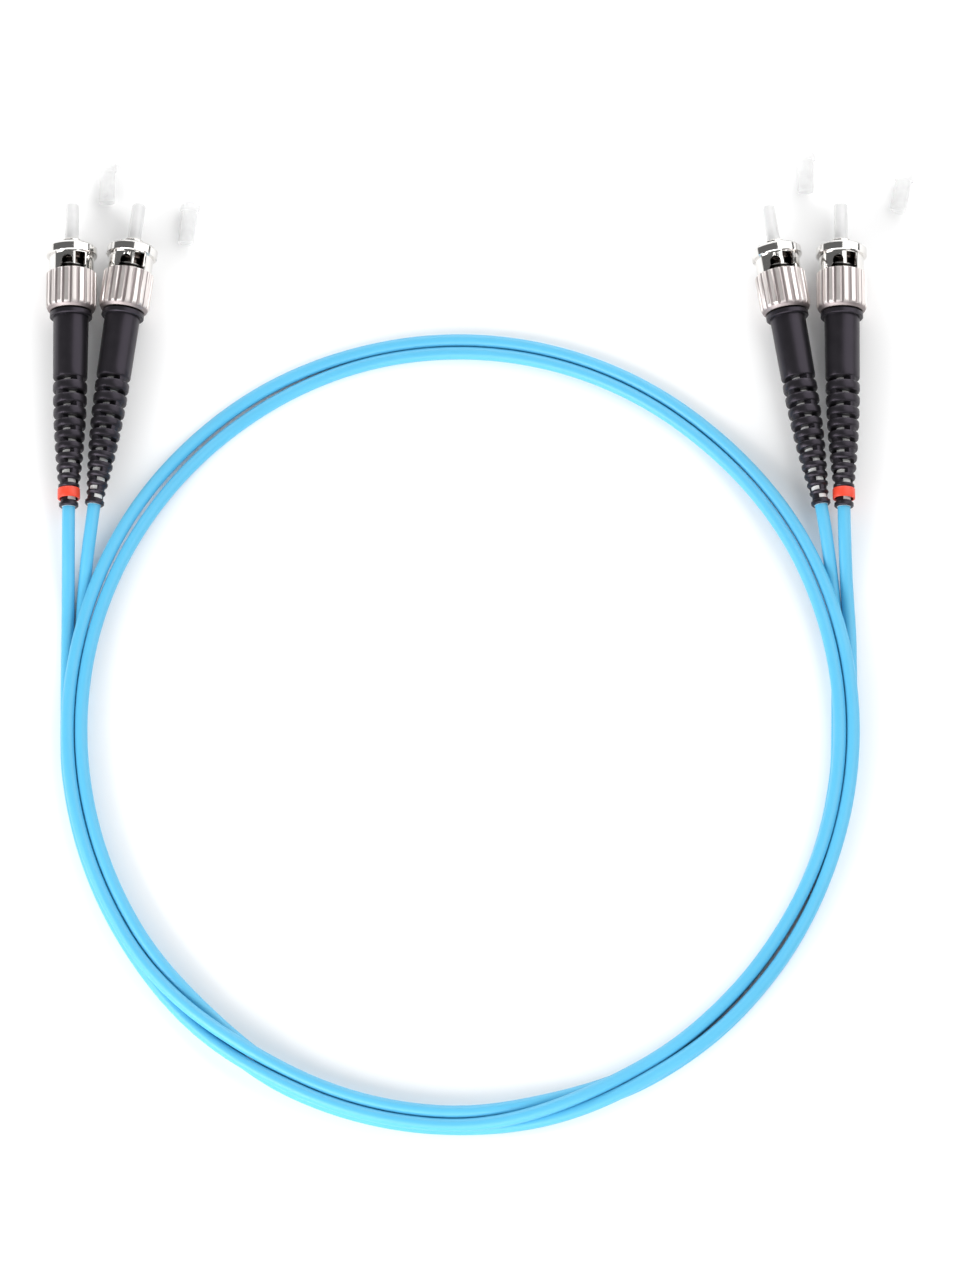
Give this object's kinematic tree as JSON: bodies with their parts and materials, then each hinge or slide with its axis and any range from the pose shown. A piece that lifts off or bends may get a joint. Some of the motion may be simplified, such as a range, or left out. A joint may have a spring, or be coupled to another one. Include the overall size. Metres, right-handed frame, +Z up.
{
  "type": "duplex bayonet fibre patch cord",
  "caption": "Coiled duplex fibre patch cord with bayonet connectors, knurled turning nuts, slotted boots and loose dust caps.",
  "frame": {"origin": "on the floor, under the middle of the box round the connectors and dust caps", "axes": "+X across the pairs of connectors, from left to right; +Y from the coil towards the ferrules' tips; +Z up"},
  "size_m": [0.1617, 0.19, 0.0095],
  "materials": {
    "ceramic": "polished white zirconia",
    "nickel": "nickel plated, turned",
    "bright_nickel": "bright nickel plate",
    "spring_steel": "drawn steel",
    "crimp_brass": "plain",
    "white_tube": "satin",
    "black_boot": "satin moulded",
    "red_ring": "satin",
    "clear_cap": "translucent",
    "aqua_jacket": "satin jacket"
  },
  "bodies": {
    "root": {"ferrule_left_outer": "ceramic", "ferrule_body_left_outer": "nickel", "spring_left_outer": "spring_steel", "retaining_clip_left_outer": "spring_steel", "crimp_sleeve_left_outer": "crimp_brass", "inner_tube_left_outer": "white_tube", "boot_left_outer": "black_boot", "ferrule_left_inner": "ceramic", "ferrule_body_left_inner": "nickel", "spring_left_inner": "spring_steel", "retaining_clip_left_inner": "spring_steel", "crimp_sleeve_left_inner": "crimp_brass", "inner_tube_left_inner": "white_tube", "boot_left_inner": "black_boot", "ferrule_right_inner": "ceramic", "ferrule_body_right_inner": "nickel", "spring_right_inner": "spring_steel", "retaining_clip_right_inner": "spring_steel", "crimp_sleeve_right_inner": "crimp_brass", "inner_tube_right_inner": "white_tube", "boot_right_inner": "black_boot", "ferrule_right_outer": "ceramic", "ferrule_body_right_outer": "nickel", "spring_right_outer": "spring_steel", "retaining_clip_right_outer": "spring_steel", "crimp_sleeve_right_outer": "crimp_brass", "inner_tube_right_outer": "white_tube", "boot_right_outer": "black_boot", "id_ring_left_outer": "red_ring", "id_ring_right_outer": "red_ring", "dust_cap_left": "clear_cap", "dust_cap_centre_left": "clear_cap", "dust_cap_centre_right": "clear_cap", "dust_cap_right": "clear_cap", "cord_leg_left_outer": "aqua_jacket", "cord_leg_left_inner": "aqua_jacket", "cord_leg_right_inner": "aqua_jacket", "cord_leg_right_outer": "aqua_jacket", "cord_coil": "aqua_jacket"},
    "nut_left_outer": {"coupling_nut_left_outer": "bright_nickel"},
    "washer_left_outer": {"thrust_washer_left_outer": "spring_steel"},
    "nut_left_inner": {"coupling_nut_left_inner": "bright_nickel"},
    "washer_left_inner": {"thrust_washer_left_inner": "spring_steel"},
    "nut_right_inner": {"coupling_nut_right_inner": "bright_nickel"},
    "washer_right_inner": {"thrust_washer_right_inner": "spring_steel"},
    "nut_right_outer": {"coupling_nut_right_outer": "bright_nickel"},
    "washer_right_outer": {"thrust_washer_right_outer": "spring_steel"}
  },
  "joints": [
    {"name": "nut_slide_left_outer", "type": "slide", "parent": "root", "child": "washer_left_outer", "axis": [0, 1, 0], "range_m": [0, 0.0026], "stiffness_N_per_m": 1000, "springref_m": -0.001, "deforming": ["spring_left_outer"]},
    {"name": "nut_turn_left_outer", "type": "hinge", "parent": "washer_left_outer", "child": "nut_left_outer", "pos_m": [-0.07612, 0.00972, 0.00475], "axis": [0, 1, 0], "continuous": true},
    {"name": "nut_slide_left_inner", "type": "slide", "parent": "root", "child": "washer_left_inner", "axis": [0.1305, 0.9914, 0], "range_m": [0, 0.0026], "stiffness_N_per_m": 1000, "springref_m": -0.001, "deforming": ["spring_left_inner"]},
    {"name": "nut_turn_left_inner", "type": "hinge", "parent": "washer_left_inner", "child": "nut_left_inner", "pos_m": [-0.06554, 0.00974, 0.00475], "axis": [0.1305, 0.9914, 0], "continuous": true},
    {"name": "nut_slide_right_inner", "type": "slide", "parent": "root", "child": "washer_right_inner", "axis": [-0.1582, 0.9874, 0], "range_m": [0, 0.0026], "stiffness_N_per_m": 1000, "springref_m": -0.001, "deforming": ["spring_right_inner"]},
    {"name": "nut_turn_right_inner", "type": "hinge", "parent": "washer_right_inner", "child": "nut_right_inner", "pos_m": [0.05557, 0.00956, 0.00475], "axis": [-0.1582, 0.9874, 0], "continuous": true},
    {"name": "nut_slide_right_outer", "type": "slide", "parent": "root", "child": "washer_right_outer", "axis": [0, 1, 0], "range_m": [0, 0.0026], "stiffness_N_per_m": 1000, "springref_m": -0.001, "deforming": ["spring_right_outer"]},
    {"name": "nut_turn_right_outer", "type": "hinge", "parent": "washer_right_outer", "child": "nut_right_outer", "pos_m": [0.06688, 0.00972, 0.00475], "axis": [0, 1, 0], "continuous": true}
  ]
}
